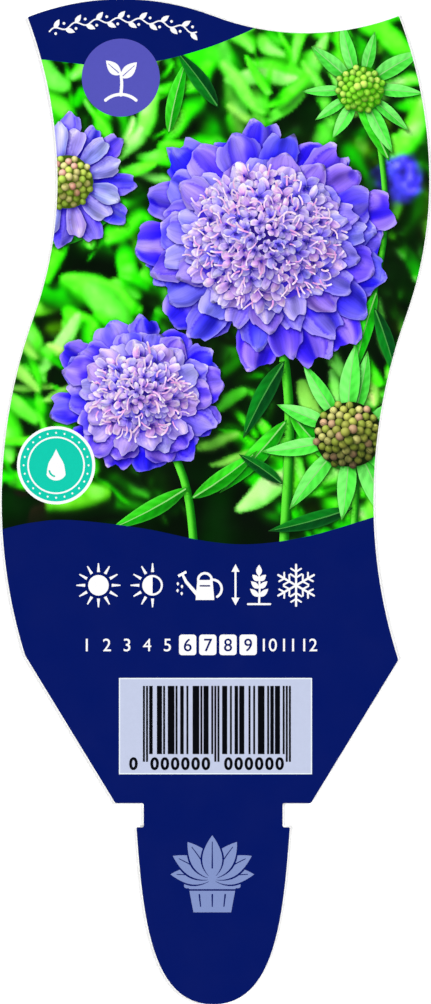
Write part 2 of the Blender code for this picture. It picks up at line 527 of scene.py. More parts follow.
# Blooms: rings of petals from the outside in, then small florets and pale stamens
lilacTones = {
    "deep": [(34, 12, 178), (54, 30, 232), (84, 70, 250)],
    "outer": [(60, 40, 206), (80, 62, 242), (116, 102, 250)],
    "middle": [(96, 72, 220), (120, 100, 248), (150, 136, 252)],
    "inner": [(138, 112, 232), (164, 144, 250), (196, 180, 253)],
    "pale": [(150, 144, 250), (168, 164, 252), (204, 198, 255)],
    "floretLilac": [(128, 100, 226), (190, 168, 250), (226, 212, 255)],
    "floretPink": [(158, 106, 216), (220, 172, 246), (250, 220, 252)],
    "floretBlue": [(92, 76, 220), (146, 130, 250), (196, 186, 255)],
}
bigBloom = {
    "place": (8.4, 45.0), "radius": 21.5, "squash": 0.88, "droop": 0.16,
    "rings": [
        {"count": 16, "from": 0.50, "to": 1.00, "width": 0.36, "tones": "deep", "spread": 0.09},
        {"count": 18, "from": 0.44, "to": 0.90, "width": 0.31, "tones": "outer", "spread": 0.09},
        {"count": 20, "from": 0.38, "to": 0.76, "width": 0.24, "tones": "middle", "spread": 0.08},
        {"count": 23, "from": 0.32, "to": 0.64, "width": 0.18, "tones": "inner", "spread": 0.07},
    ],
    "florets": 96, "floretReach": 0.56, "floretSize": 0.082, "stamens": 190,
}
lowBloom = {
    "place": (-12.8, 18.4), "radius": 14.6, "squash": 0.9, "droop": 0.1,
    "rings": [
        {"count": 13, "from": 0.48, "to": 1.00, "width": 0.42, "tones": "deep", "spread": 0.09},
        {"count": 14, "from": 0.42, "to": 0.86, "width": 0.37, "tones": "outer", "spread": 0.09},
        {"count": 16, "from": 0.36, "to": 0.70, "width": 0.28, "tones": "inner", "spread": 0.07},
    ],
    "florets": 56, "floretReach": 0.50, "floretSize": 0.105, "stamens": 90,
}
petalLook = {"shoulder": 0.72, "foot": 0.3, "bend": 0.12, "lobes": 2.0, "lobeDepth": 0.07, "ruffle": 0.07,
             "steps": 6, "fold": 0.17, "folds": 3.0, "rim": 0.38, "rimTone": (212, 204, 255), "glow": 0.55,
             "glowTone": (172, 156, 252), "streak": 0.8, "vary": 0.1, "hue": 14, "rootShade": 0.42, "cast": 1.0,
             "level": 1.0, "turnover": 0.6, "frill": 0.03, "dimmed": np.array((0.5, 0.55, 0.1))}
brightness = np.array((0.3, 0.59, 0.11))


def petal(base, angle, length, width, tones, **changes):
    look = {**petalLook, **changes}
    base = np.array(base)
    along = np.array((math.cos(angle), math.sin(angle)))
    across = np.array((-along[1], along[0]))
    shoulder = look["shoulder"]
    bend = draw.uniform(-1, 1) * look["bend"]
    phase, seed = draw.uniform(0, 6.28), draw.random()
    level, hue = look["level"] * vary(look["vary"]), draw.uniform(-1, 1) * look["hue"]
    curled, curledSide = draw.random() < look["turnover"], draw.choice((-1, 1))     # one edge may curl over

    def halfAt(u):
        body = look["foot"] + (1 - look["foot"]) * np.sin(np.clip(u / shoulder, 0, 1) * math.pi / 2) ** 1.3
        end = np.sqrt(np.clip(1 - (np.clip(u - shoulder, 0, 1) / (1 - shoulder)) ** 2, 0, 1))
        return width / 2 * body * np.maximum(end, 0.05)

    u = np.linspace(0, shoulder, look["steps"] + 1)
    wave = 1 + look["ruffle"] * np.sin(11 * u + phase) * (u / shoulder)
    turn = np.linspace(-math.pi / 2, math.pi / 2, 2 * look["steps"] + 1)[1:-1]
    lobe = 1 + 3 * look["lobeDepth"] * np.cos(2 * look["lobes"] * turn + phase)
    lobe = lobe + look["frill"] * np.array([draw.uniform(-1, 1) for _ in turn])
    us = np.concatenate((u, shoulder + (1 - shoulder) * np.cos(turn) * lobe, u[::-1]))
    vs = np.concatenate((-halfAt(u) * wave, np.sin(turn) * width / 2, (halfAt(u) * wave)[::-1]))
    vs = vs + bend * length * us ** 2
    side, facing = float(across @ pictureLight), float(along @ pictureLight)

    def shade(points):
        away = points - base
        u = (away @ along) / length
        v = (away @ across - bend * length * u ** 2) / halfAt(u)
        spot = np.column_stack((2.2 * u, 1.1 * v)) + 40 * seed
        colour = blendTo(evenTone(tones[0], points), tones[1], smoothStep(u, 0.05, 0.5))
        colour = blendTo(colour, tones[2], smoothStep(u, 0.45, 0.95))
        colour = blendTo(colour, look["glowTone"], look["glow"] * smoothStep(softNoise(spot, 0.8, 13), 0.42, 0.62))
        fold = look["fold"] * np.sin(look["folds"] * v + phase + 2.5 * u)
        shaded = level * (1 + fold + 0.24 * (softNoise(spot, 0.45, 12) - 0.5) + 0.14 * side * v + 0.06 * facing)
        shaded = shaded * (1 - look["rootShade"] * (1 - smoothStep(u, 0.0, 0.42)))
        rim = look["rim"] * np.maximum(smoothStep(np.abs(v), 0.76, 1.0), smoothStep(u, 0.92, 1.02))
        colour = np.clip(colour * shaded[:, None] + np.array((hue, 0, 0)), 0, 255)
        dim = 1 - smoothStep(colour @ brightness, 55, 128)
        colour = colour * (1 - dim[:, None] * look["dimmed"])
        if curled:
            past = v * curledSide - 0.5 - 0.1 * np.sin(5 * u + phase) + 0.5 * np.clip(0.5 - u, 0, 1)
            colour = blendTo(colour, tones[0], 0.55 * smoothStep(past, -0.28, -0.02) * (past < 0))
            colour = blendTo(colour, look["glowTone"], 0.45 * smoothStep(past, -0.02, 0.08))
        colour = blendTo(colour, look["rimTone"], rim)
        return colour, np.column_stack((u, v, np.full(len(u), seed))), np.full(len(u), look["streak"])

    addShape(base + us[:, None] * length * along + vs[:, None] * across, shade, look["cast"])


def thread(points, width, tone, tipTone, cast=0.45):     # a stamen
    start, span = np.array(points[0]), np.array(points[-1]) - np.array(points[0])
    level = vary(0.06)

    def shade(places):
        colour = blendTo(evenTone(tone, places), tipTone, smoothStep(((places - start) @ span) / (span @ span), 0.3, 1.0))
        return np.clip(colour * level, 0, 255), np.zeros((len(places), 3)), np.zeros(len(places))

    addShape(stroke(points, width, 1.25, 3), shade, cast)


def knob(x, y, radius, tone, level, gapTone):       # a small round bud
    level = level * vary(0.12)

    def shade(points):
        away = (points - np.array((x, y))) / radius
        rise = np.sqrt(np.clip(1 - (away ** 2).sum(axis=1), 0, 1))
        lit = np.clip(away @ pictureLight * 0.5 + rise * 0.78, 0, 1.2)
        colour = np.clip(np.array(tone, float) * (0.42 + 0.72 * lit[:, None]) * level, 0, 255)
        colour = blendTo(colour, (255, 252, 214), 0.5 * smoothStep(lit, 0.86, 1.05))
        return colour, np.zeros((len(points), 3)), np.zeros(len(points))

    addShape(circle(x, y, radius, 12), shade, 0.9, gapTone)


def disc(x, y, radiusX, radiusY, middleTone, edgeTone, wobble=0.06, shadowTone=pictureFrame["bloomShadow"]):        # a dark bed under knobs or florets
    phase = draw.uniform(0, 6.28)
    outline = [(x + (px - x) * (1 + wobble * math.sin(5 * i / 6 + phase)),
                y + (py - y) * radiusY / radiusX * (1 + wobble * math.sin(5 * i / 6 + phase)))
               for i, (px, py) in enumerate(circle(x, y, radiusX, 36))]

    def shade(points):
        far = np.hypot((points[:, 0] - x) / radiusX, (points[:, 1] - y) / radiusY)
        colour = blendTo(evenTone(middleTone, points), edgeTone, smoothStep(far, 0.3, 1.0))
        return colour, np.zeros((len(points), 3)), np.zeros(len(points))

    addShape(outline, shade, 0.5, shadowTone)


def ringOfPetals(bloom, ring):
    cx, cy = bloom["place"]
    radius = bloom["radius"]
    turns = list(range(ring["count"]))
    draw.shuffle(turns)
    for i in turns:
        angle = 2 * math.pi * (i + draw.uniform(-0.28, 0.28)) / ring["count"]
        dx, dy = math.cos(angle), math.sin(angle) * bloom["squash"]
        reach = ring["to"] * vary(ring["spread"]) * (1 + bloom["droop"] * max(0.0, -dy))
        start = (cx + dx * ring["from"] * radius * 0.9, cy + dy * ring["from"] * radius * 0.9)
        petal(start, math.atan2(dy, dx) + draw.uniform(-0.14, 0.14),
              (reach - ring["from"] * 0.9) * radius * math.hypot(dx, dy), ring["width"] * radius * vary(0.15),
              lilacTones[ring["tones"]], lobes=draw.choice((1.5, 2.0, 2.5, 3.0)), lobeDepth=draw.uniform(0.03, 0.1),
              folds=draw.uniform(2.2, 5.5), vary=0.14, steps=8, frill=0.07, ruffle=0.1)


def floret(x, y, size, outward, tones, level):
    lobes = draw.choice((4, 5, 5))
    spin = draw.uniform(0, 6.28)
    for i in range(lobes):
        angle = spin + 2 * math.pi * i / lobes + draw.uniform(-0.25, 0.25)
        lean = 1 + 0.3 * math.cos(angle - outward)      # the outer lobes are the longest
        petal((x, y), angle, size * lean * vary(0.15), size * draw.uniform(0.62, 0.85), tones, steps=3, lobes=1.5,
              lobeDepth=0.05, bend=0.2, fold=0.08, glow=0.2, rim=0.4, turnover=0.0, rimTone=(246, 236, 255), streak=0.4,
              rootShade=0.42, foot=0.4, shoulder=0.62, cast=0.55, hue=8, level=level)
    petal((x - 0.12 * size, y), draw.uniform(0, 6.28), 0.3 * size, 0.26 * size,
          [(70, 44, 150), (84, 56, 176), (104, 72, 196)], steps=2, glow=0.0, rim=0.0, streak=0.0, cast=0.0,
          turnover=0.0)


def centreOfBloom(bloom):
    cx, cy = bloom["place"]
    reachX = bloom["floretReach"] * bloom["radius"]
    reachY = reachX * bloom["squash"]
    disc(cx, cy, reachX * 0.98, reachY * 0.98, (52, 34, 118), (74, 56, 190))
    golden = math.pi * (3 - math.sqrt(5))
    count = bloom["florets"]
    for k in range(count, 0, -1):
        share = math.sqrt((k - 0.5) / count)
        angle = k * golden + draw.uniform(-0.12, 0.12)
        dx, dy = math.cos(angle) * share, math.sin(angle) * share
        kind = draw.choices(("floretLilac", "floretPink", "floretBlue"), (0.5, 0.3, 0.2))[0]
        size = bloom["floretSize"] * bloom["radius"] * (0.72 + 0.45 * share) * vary(0.14)
        floret(cx + dx * reachX, cy + dy * reachY, size, angle, lilacTones[kind],
               1.0 + 0.1 * float(np.array((dx, dy)) @ pictureLight))
    for _ in range(bloom["stamens"]):
        share = math.sqrt(draw.random()) * 1.1
        angle = draw.uniform(0, 2 * math.pi)
        x, y = cx + math.cos(angle) * share * reachX, cy + math.sin(angle) * share * reachY
        heading = angle + draw.uniform(-0.9, 0.9)
        size = draw.uniform(0.8, 1.9)
        curl = draw.uniform(-0.8, 0.8)
        line = [(x + size * t * math.cos(heading + curl * t), y + size * t * math.sin(heading + curl * t))
                for t in (0.0, 0.33, 0.66, 1.0)]
        tone = draw.choice(((238, 168, 232), (246, 190, 240), (222, 186, 250), (250, 214, 244)))
        thread(line, draw.uniform(0.17, 0.3), tone, (255, 238, 250))


def drawBloom(bloom):
    for ring in bloom["rings"]:
        ringOfPetals(bloom, ring)
    centreOfBloom(bloom)


# Leaves and stems in focus
leafTones = {       # the shaded half, the lit half and the rib
    "fresh": [(34, 150, 30), (74, 224, 52), (176, 255, 150)],
    "dark": [(8, 60, 24), (20, 104, 34), (96, 176, 92)],
    "bract": [(88, 222, 78), (128, 250, 116), (172, 255, 152)],
}


def leaf(base, angle, length, width, tones, bend=0.0, cast=0.9):
    along = np.array((math.cos(angle), math.sin(angle)))
    across = np.array((-along[1], along[0]))
    level, seed = vary(0.1), draw.random()
    litSide = 1 if across @ pictureLight > 0 else -1

    def shade(points):
        away = points - np.array(base)
        u = (away @ along) / length
        half = width / 2 * np.sin(math.pi * np.clip(u, 0.02, 0.98) ** 0.85) ** 0.9 + 1e-3
        v = (away @ across - bend * length * u ** 2) / half
        colour = blendTo(evenTone(tones[0], points), tones[1], smoothStep(v * litSide, -0.12, 0.16))
        ribs = 0.06 * np.sin(2 * math.pi * (7 * u - 0.9 * np.abs(v)))
        patches = 0.2 * (softNoise(np.column_stack((3 * u, v)) + 30 * seed, 0.5, 21) - 0.5)
        shaded = level * (0.8 + 0.24 * smoothStep(u, 0.0, 0.5) - 0.16 * smoothStep(u, 0.8, 1.0) + ribs + patches)
        colour = blendTo(colour * shaded[:, None], tones[2], 0.22 * smoothStep(np.abs(v), 0.7, 1.0))
        colour = blendTo(colour, (74, 88, 52), 0.5 * smoothStep(u, 0.88, 1.0))
        return np.clip(colour, 0, 255), np.column_stack((u, v, np.full(len(u), seed))), np.full(len(u), 0.35)

    addShape(leafOutline(base, math.degrees(angle), length, width, bend, 9), shade, cast, pictureFrame["leafShadow"])
    rib = [np.array(base) + along * u * length + across * bend * length * u * u for u in (0.04, 0.3, 0.55, 0.78, 0.92)]

    def ribShade(points):
        return evenTone(np.array(tones[2]) * 0.86, points), np.zeros((len(points), 3)), np.zeros(len(points))

    addShape(stroke([tuple(p) for p in rib], min(0.26, 0.09 * width), 0.4, 2), ribShade, 0.0, pictureFrame["leafShadow"])


def stem(points, width):
    line = smoothThrough(points, 6)
    middle = np.array(line)

    def shade(places):
        gaps = places[:, None, :] - middle[None, :, :]
        nearest = np.clip(np.argmin((gaps ** 2).sum(axis=2), axis=1), 1, len(middle) - 2)
        heading = middle[nearest + 1] - middle[nearest - 1]
        heading = heading / np.linalg.norm(heading, axis=1)[:, None]
        offset = places - middle[nearest]
        side = (offset[:, 1] * heading[:, 0] - offset[:, 0] * heading[:, 1]) / (width / 2)
        side = side * np.sign(heading[:, 0] * pictureLight[1] - heading[:, 1] * pictureLight[0])
        colour = blendTo(evenTone((16, 92, 18), places), (108, 232, 70), smoothStep(side, -0.9, 0.45))
        return colour, np.column_stack((side, places * 0.4)), np.full(len(places), 0.3)

    addShape(stroke(line, width, 1.1, 3), shade, 0.9, pictureFrame["leafShadow"])


# Heads: a dome of small knobs, on a star of pointed bracts or on two rings of petals
budHead = {"place": (22.6, 11.4), "radius": 5.7, "knobs": 62, "knobSize": 0.78, "bracts": 11, "bractReach": 2.0,
           "tones": [(172, 178, 92), (150, 164, 78), (196, 194, 122), (186, 156, 124)],
           "bed": [(40, 58, 16), (20, 30, 8)], "gap": (14, 24, 6), "fall": 0.3}
topHead = {"place": (24.6, 70.2), "radius": 4.0, "knobs": 44, "knobSize": 0.66, "bracts": 10, "bractReach": 2.2,
           "tones": [(180, 255, 88), (158, 250, 74), (200, 255, 112)],
           "bed": [(70, 160, 24), (56, 140, 20)], "gap": (44, 118, 10), "fall": 0.06}
daisyHead = {"place": (-25.6, 54.4), "radius": 4.7, "knobs": 52, "knobSize": 0.69, "bracts": 0, "bractReach": 0.0,
             "tones": [(200, 224, 106), (180, 212, 94), (226, 218, 146), (238, 178, 160)],
             "bed": [(92, 118, 40), (70, 92, 30)], "gap": (60, 74, 18), "fall": 0.14}


def drawHead(head):
    cx, cy = head["place"]
    for i in range(head["bracts"]):
        angle = 2 * math.pi * (i + draw.uniform(-0.25, 0.25)) / head["bracts"]
        length = head["radius"] * head["bractReach"] * vary(0.2)
        leaf((cx + 0.5 * head["radius"] * math.cos(angle), cy + 0.5 * head["radius"] * math.sin(angle)), angle,
             length, length * draw.uniform(0.22, 0.32), leafTones["bract"], draw.uniform(-0.16, 0.16))
    disc(cx, cy, head["radius"] * 1.02, head["radius"] * 0.97, *head["bed"], 0.02, head["gap"])
    golden = math.pi * (3 - math.sqrt(5))
    for k in range(head["knobs"], 0, -1):
        share = math.sqrt(k / head["knobs"])
        across, up = math.cos(k * golden) * share, math.sin(k * golden) * share
        knob(cx + across * head["radius"], cy + up * head["radius"] * 0.95, head["knobSize"] * (1.1 - 0.28 * share),
             draw.choice(head["tones"]), 1.04 + head["fall"] * up, head["gap"])


def drawDaisy(head):
    cx, cy = head["place"]
    for ring, (reach, tones) in enumerate(((2.45, "outer"), (2.05, "pale"))):
        for i in range(12):
            angle = 2 * math.pi * (i + 0.5 * ring + draw.uniform(-0.2, 0.2)) / 12
            petal((cx + 0.7 * head["radius"] * math.cos(angle), cy + 0.7 * head["radius"] * math.sin(angle)), angle,
                  (reach - 0.7) * head["radius"] * vary(0.1), 3.6 * vary(0.15), lilacTones[tones],
                  lobes=draw.choice((2.0, 2.5)), lobeDepth=0.06, folds=3.5)
    drawHead(head)


arrangement = {
    "stems": [      # points down the stem, width
        ([(22.6, 11.4), (23.8, 4.0), (23.4, -8.0)], 1.1), ([(24.6, 70.2), (28.0, 60.0), (28.6, 44.0), (24.0, 24.0)], 0.9),
        ([(-25.6, 54.4), (-28.6, 44.0), (-35.0, 30.0)], 0.9), ([(-12.0, 18.0), (-5.4, 4.0), (-3.6, -8.0)], 1.3),
        ([(8.0, 44.0), (12.4, 18.0), (11.6, -8.0)], 1.5),
    ],
    "leaves": [     # base, angle in degrees, length, width, tones, bend
        ((29.5, 58.0), 112, 15.0, 3.0, "fresh", 0.10), ((-8.0, 62.5), 82, 13.0, 2.6, "fresh", -0.10),
        ((0.5, 67.0), 122, 12.0, 2.8, "dark", 0.08), ((-28.8, 43.5), 20, 14.0, 2.8, "fresh", 0.12),
        ((-31.5, 37.5), 214, 9.0, 2.2, "dark", -0.10), ((11.8, 24.0), 236, 15.0, 3.2, "dark", 0.10),
        ((12.2, 14.0), 232, 17.0, 3.3, "fresh", -0.08), ((12.4, 15.5), 308, 14.0, 3.0, "fresh", 0.08),
        ((23.4, -1.0), 200, 15.0, 2.8, "dark", -0.08), ((-4.2, 0.5), 30, 14.0, 2.9, "fresh", 0.10),
        ((-4.6, 2.5), 214, 15.0, 3.0, "fresh", -0.10), ((27.5, 36.0), 250, 15.0, 2.8, "fresh", 0.08),
        ((27.0, 33.0), 292, 13.0, 2.6, "dark", -0.08), ((11.4, 3.0), 140, 9.0, 2.2, "dark", 0.10),
    ],
}


# Blurred garden behind: sprays of soft leaves on a dark ground, each leaf with its own shadow on the last
garden = {
    "ground": [(2, 20, 3), (4, 60, 6), (58, 48, 30)],
    "low": (-40.0, -14.0), "high": (40.0, 86.0),
    "layers": [     # furthest first; level dims a layer, and shadow is how dark its leaves' shadows are
        {"sprays": 34, "leaves": 6, "length": (13, 24), "width": (3.4, 6.4), "soft": (1.1, 1.8), "shadow": 0.4,
         "level": 0.74, "tones": [(36, 178, 12), (28, 140, 10), (54, 216, 20), (18, 104, 8), (86, 150, 24)]},
        {"sprays": 44, "leaves": 6, "length": (10, 21), "width": (2.8, 5.2), "soft": (0.6, 1.2), "shadow": 0.6,
         "level": 1.0, "tones": [(54, 226, 12), (66, 252, 20), (84, 255, 38), (44, 196, 12), (32, 150, 12),
                                 (108, 214, 44), (98, 255, 62)]},
        {"sprays": 22, "leaves": 5, "length": (8, 16), "width": (1.6, 3.4), "soft": (0.38, 0.75), "shadow": 0.66,
         "level": 1.0, "tones": [(76, 255, 26), (108, 255, 66), (142, 255, 108), (60, 228, 20), (156, 236, 98)]},
    ],
    "stemPart": (1.6, 3.4), "fan": (24, 58), "shadowStep": (1.0, -1.3), "pale": (164, 255, 140), "glare": 0.7,
    "spill": 0.6,
    "farBlooms": [((31.0, 55.0), 5.0, (72, 60, 226)), ((-35.5, 34.0), 4.4, (44, 34, 214))],
    "soil": ((-33.0, 4.0), 11.0),
    "shade": [(bigBloom, 0.62), (lowBloom, 0.56)],
}


def gardenLeaves():     # each spray is a short stem with leaves to its left and right
    leaves = []
    for layer in garden["layers"]:
        for _ in range(layer["sprays"]):
            base = np.array([draw.uniform(garden["low"][axis], garden["high"][axis]) for axis in (0, 1)])
            heading = draw.gauss(90, 38)
            size = draw.uniform(0.75, 1.15)
            stalk = np.array((math.cos(math.radians(heading)), math.sin(math.radians(heading))))
            stalkLength = layer["leaves"] * sum(garden["stemPart"]) / 2 * size
            leaves.append({"place": base + stalk * stalkLength / 2, "along": stalk, "length": stalkLength * 1.5,
                           "width": 1.2 * size, "bend": 0.0, "soft": layer["soft"][0], "shadow": 0.5 * layer["shadow"],
                           "tone": np.array(layer["tones"][0]) * layer["level"] * 0.8, "glare": 0.3, "seed": 0.0})
            for k in range(layer["leaves"]):
                side = (-1) ** k
                angle = math.radians(heading + side * draw.uniform(*garden["fan"]))
                along = np.array((math.cos(angle), math.sin(angle)))
                length = draw.uniform(*layer["length"]) * size
                leaves.append({"place": base + along * length / 2, "along": along, "length": length,
                               "width": draw.uniform(*layer["width"]) * size, "bend": draw.uniform(-0.012, 0.012),
                               "soft": draw.uniform(*layer["soft"]), "shadow": layer["shadow"],
                               "tone": np.array(draw.choice(layer["tones"])) * layer["level"] * vary(0.1),
                               "glare": draw.random() * layer["level"], "seed": draw.uniform(0, 40)})
                step = draw.uniform(*garden["stemPart"]) * size
                base = base + step * np.array((math.cos(math.radians(heading)), math.sin(math.radians(heading))))
                heading += draw.uniform(-12, 12)
    return leaves


softLeaves = gardenLeaves()


def acrossLeaf(one, away):      # how far across and along one soft leaf, and its half width there
    lengthways = away @ one["along"]
    across = away[:, 1] * one["along"][0] - away[:, 0] * one["along"][1] - one["bend"] * lengthways ** 2
    reach = np.clip(1 - (2 * lengthways / one["length"]) ** 2, 0, 1)
    return across, reach, one["width"] / 2 * reach ** 0.6


def gardenColour(points):
    warped = points + 1.2 * np.column_stack((softNoise(points, 4.0, 3) - 0.5, softNoise(points, 4.0, 4) - 0.5))
    colour = blendTo(evenTone(garden["ground"][0], points), garden["ground"][1],
                     smoothStep(softNoise(warped, 6.0, 5), 0.35, 0.9))
    soilPlace, soilReach = garden["soil"]
    soil = 1 - smoothStep(np.hypot(*(warped - soilPlace).T), 0.3 * soilReach, soilReach)
    colour = blendTo(colour, garden["ground"][2], soil * smoothStep(softNoise(warped, 2.2, 6), 0.3, 0.7))
    for one in softLeaves:
        near = np.flatnonzero((np.abs(warped - one["place"]) < 0.6 * one["length"] + 4).all(axis=1))
        away = warped[near] - one["place"]
        across, reach, half = acrossLeaf(one, away - garden["shadowStep"])
        hidden = smoothStep(half - np.abs(across), -1.7, 1.3) * smoothStep(reach, 0.0, 0.4)
        under = blendTo(colour[near], pictureFrame["gardenShadow"], one["shadow"] * hidden)
        across, reach, half = acrossLeaf(one, away)
        cover = smoothStep(half - np.abs(across), -one["soft"], one["soft"]) * smoothStep(reach, 0.0, 0.3)
        litSide = 1 if one["along"][0] * pictureLight[1] - one["along"][1] * pictureLight[0] > 0 else -1
        lit = smoothStep(litSide * across / (half + 0.4), -1.0, 0.2)
        tone = one["tone"] * (0.66 + 0.4 * lit + 0.12 * (away @ one["along"]) / one["length"])[:, None]
        glare = softNoise(away + one["seed"], 2.6, 14)
        tone = blendTo(tone, garden["pale"], garden["glare"] * one["glare"] * lit * smoothStep(glare, 0.35, 0.8))
        cover = cover[:, None]
        colour[near] = under * (1 - cover) + np.clip(tone, 0, 255) * cover
    for place, reach, tone in garden["farBlooms"]:
        edge = np.hypot(*(warped - place).T) * (0.8 + 0.4 * softNoise(points, 1.7, 9))
        patch = np.array(tone, float) * (0.75 + 0.5 * softNoise(points, 1.1, 10)[:, None])
        cover = 0.92 * (1 - smoothStep(edge, 0.6 * reach, 1.05 * reach))[:, None]
        colour = colour * (1 - cover) + np.clip(patch, 0, 255) * cover
    for bloom, depth in garden["shade"]:        # blooms keep the light off what is low and right of them
        (x, y), radius = bloom["place"], bloom["radius"]
        far = np.hypot(points[:, 0] - x - 0.14 * radius, points[:, 1] - y + 0.2 * radius) / radius
        colour = blendTo(colour, pictureFrame["gardenShadow"], depth * (1 - smoothStep(far, 0.8, 1.3)))
    bright = colour @ brightness
    contrast = 0.6 + 0.78 * smoothStep(bright, 36, 90) - 0.24 * smoothStep(bright, 120, 190)
    colour = colour * (contrast * (0.94 + 0.12 * softNoise(points, 1.2, 8)))[:, None]
    surplus = np.clip(colour.max(axis=1) - 255, 0, None)[:, None]       # too bright a green turns paler
    return np.clip(colour + garden["spill"] * surplus, 0, 255)


for points, width in arrangement["stems"]:
    stem(points, width)
for place, angle, length, width, tones, bend in arrangement["leaves"]:
    leaf(place, math.radians(angle), length, width, leafTones[tones], bend)
drawDaisy(daisyHead)
drawHead(topHead)
drawHead(budHead)
drawBloom(lowBloom)
drawBloom(bigBloom)
pictureShapes = len(drawn)


def navyShade(points):
    return evenTone(pictureFrame["navy"], points), np.zeros((len(points), 3)), np.zeros(len(points))


bandEdge = smoothThrough(pictureFrame["bandEdge"], 6)
waveEdge = smoothThrough(pictureFrame["waveEdge"], 6)
addShape([(-40.0, 74.8)] + bandEdge + [(8.0, 92.0), (-40.0, 92.0)], navyShade, 0.0)
addShape([(-40.0, -90.0), (40.0, -90.0), (40.0, -2.0)] + waveEdge[::-1] + [(-40.0, -5.0)], navyShade, 0.0)
print("picture drawn, shapes:", len(drawn))


# Which shape is on top, on a fine grid over the face: for hidden edges and for contact shadows
def paintOrder():
    pitch = pictureFrame["mapPitch"]
    low = labelOutline.min(axis=0) - 1.0
    size = np.ceil((labelOutline.max(axis=0) + 1.0 - low) / pitch).astype(int)
    order = np.full(size, -1)
    for index, shape in enumerate(drawn):
        first = np.maximum(((shape["outline"].min(axis=0) - low) / pitch).astype(int), 0)
        last = np.minimum(((shape["outline"].max(axis=0) - low) / pitch).astype(int) + 2, size)
        if (last <= first).any():
            continue
        i, j = np.meshgrid(np.arange(first[0], last[0]), np.arange(first[1], last[1]), indexing="ij")
        cells = np.column_stack((i.ravel(), j.ravel()))
        hit = insideOutline(low + (cells + 0.5) * pitch, shape["outline"])
        order[cells[hit, 0], cells[hit, 1]] = index
    return order, low, pitch


orderMap, mapLow, mapPitch = paintOrder()


def orderAt(points):
    cells = np.floor((points - mapLow) / mapPitch).astype(int)
    cells = np.clip(cells, 0, np.array(orderMap.shape) - 1)
    return orderMap[cells[:, 0], cells[:, 1]]


def visibleEdges():     # outline pieces that nothing covers, as points and pairs
    points, pairs = [], []
    reach = mapPitch * np.array(((0, 0), (1.2, 0), (-1.2, 0), (0, 1.2), (0, -1.2)))
    for index, shape in enumerate(drawn):
        outline = shape["outline"]
        hidden = np.all([orderAt(outline + step) > index for step in reach], axis=0)
        after = np.roll(hidden, -1)
        first = len(points)
        points += list(outline)
        count = len(outline)
        pairs += [(first + i, first + (i + 1) % count) for i in range(count) if not (hidden[i] and after[i])]
    return points, pairs


def scatter(pitch, wanted):     # a jittered grid of free points where wanted says so
    low, high = labelOutline.min(axis=0), labelOutline.max(axis=0)
    x, y = np.meshgrid(np.arange(low[0], high[0], pitch), np.arange(low[1], high[1], pitch), indexing="ij")
    points = np.column_stack((x.ravel(), y.ravel()))
    points += np.random.default_rng(7).uniform(-0.3, 0.3, points.shape) * pitch
    return points[wanted(orderAt(points)) & insideOutline(points, labelOutline)]


def frontTriangles():
    edgePoints, pairs = visibleEdges()
    bloomPoints = scatter(pictureFrame["bloomPitch"], lambda top: (top >= 0) & (top < pictureShapes))
    gardenPoints = scatter(pictureFrame["gardenPitch"], lambda top: top < 0)
    rim = len(labelOutline)
    points = [Vector(p) for p in labelOutline] + [Vector(p) for p in edgePoints]
    points += [Vector(p) for p in bloomPoints] + [Vector(p) for p in gardenPoints]
    pairs = [(a + rim, b + rim) for a, b in pairs]
    places, _, triangles, _, _, covers = geometry.delaunay_2d_cdt(points, pairs, [list(range(rim))], 0, 1e-4, True)
    kept = [t for t, cover in zip(triangles, covers) if cover]
    return np.array([tuple(p) for p in places]), np.array(kept)


def topShapes(centres):     # the nearest shape over each centre, or -1 for the garden
    top = np.full(len(centres), -1)
    rows = np.argsort(centres[:, 1])
    heights = centres[rows, 1]
    for index, shape in enumerate(drawn):
        low, high = shape["outline"].min(axis=0), shape["outline"].max(axis=0)
        near = rows[np.searchsorted(heights, low[1]):np.searchsorted(heights, high[1])]
        near = near[(centres[near, 0] >= low[0]) & (centres[near, 0] <= high[0])]
        if len(near):
            top[near[insideOutline(centres[near], shape["outline"])]] = index
    return top


contactReach = [(-0.22, 0.26, 0.24), (-0.45, 0.52, 0.20), (-0.8, 0.9, 0.12), (0.0, 0.3, 0.12), (-0.3, 0.0, 0.12),
                (0.24, 0.12, 0.08), (0.12, -0.24, 0.08), (0.3, -0.3, 0.06)]     # steps to look up at, and their weight


printGamut = {"dark": 1.28, "bright": 1.1, "from": 110, "to": 185}      # how much purer than drawn the inks are


def saturated(colour):
    light = (colour @ brightness)[:, None]
    gain = printGamut["dark"] + (printGamut["bright"] - printGamut["dark"]) * smoothStep(
        light, printGamut["from"], printGamut["to"])
    return np.clip(light + (colour - light) * gain, 0, 255)


def frontColours(places, triangles, top):
    corners = places[triangles.ravel()]
    owner = np.repeat(top, 3)
    colour = np.zeros((len(corners), 3))
    place = np.zeros((len(corners), 3))
    streak = np.zeros(len(corners))
    bare = owner < 0
    colour[bare] = gardenColour(corners[bare])
    ranked = np.argsort(owner, kind="stable")
    bounds = np.searchsorted(owner[ranked], np.arange(len(drawn) + 1))
    for index, shape in enumerate(drawn):
        mine = ranked[bounds[index]:bounds[index + 1]]
        if len(mine):
            colour[mine], place[mine], streak[mine] = shape["shade"](corners[mine])
    casts = np.array([shape["cast"] for shape in drawn] + [0.0])      # the last is the bare garden, numbered -1
    tones = np.array([shape["shadowTone"] for shape in drawn] + [pictureFrame["gardenShadow"]], float)
    dark = np.zeros(len(corners))
    for dx, dy, weight in contactReach:
        above = orderAt(corners + np.array((dx, dy)))
        dark += weight * np.where(above > owner, casts[above], 0.0)
    dark = np.where(owner >= pictureShapes, 0.0, np.clip(dark, 0, 0.92))[:, None]
    colour = colour * (1 - dark) + tones[owner] * dark
    colour[owner < pictureShapes] = saturated(colour[owner < pictureShapes])
    return colour, place, streak


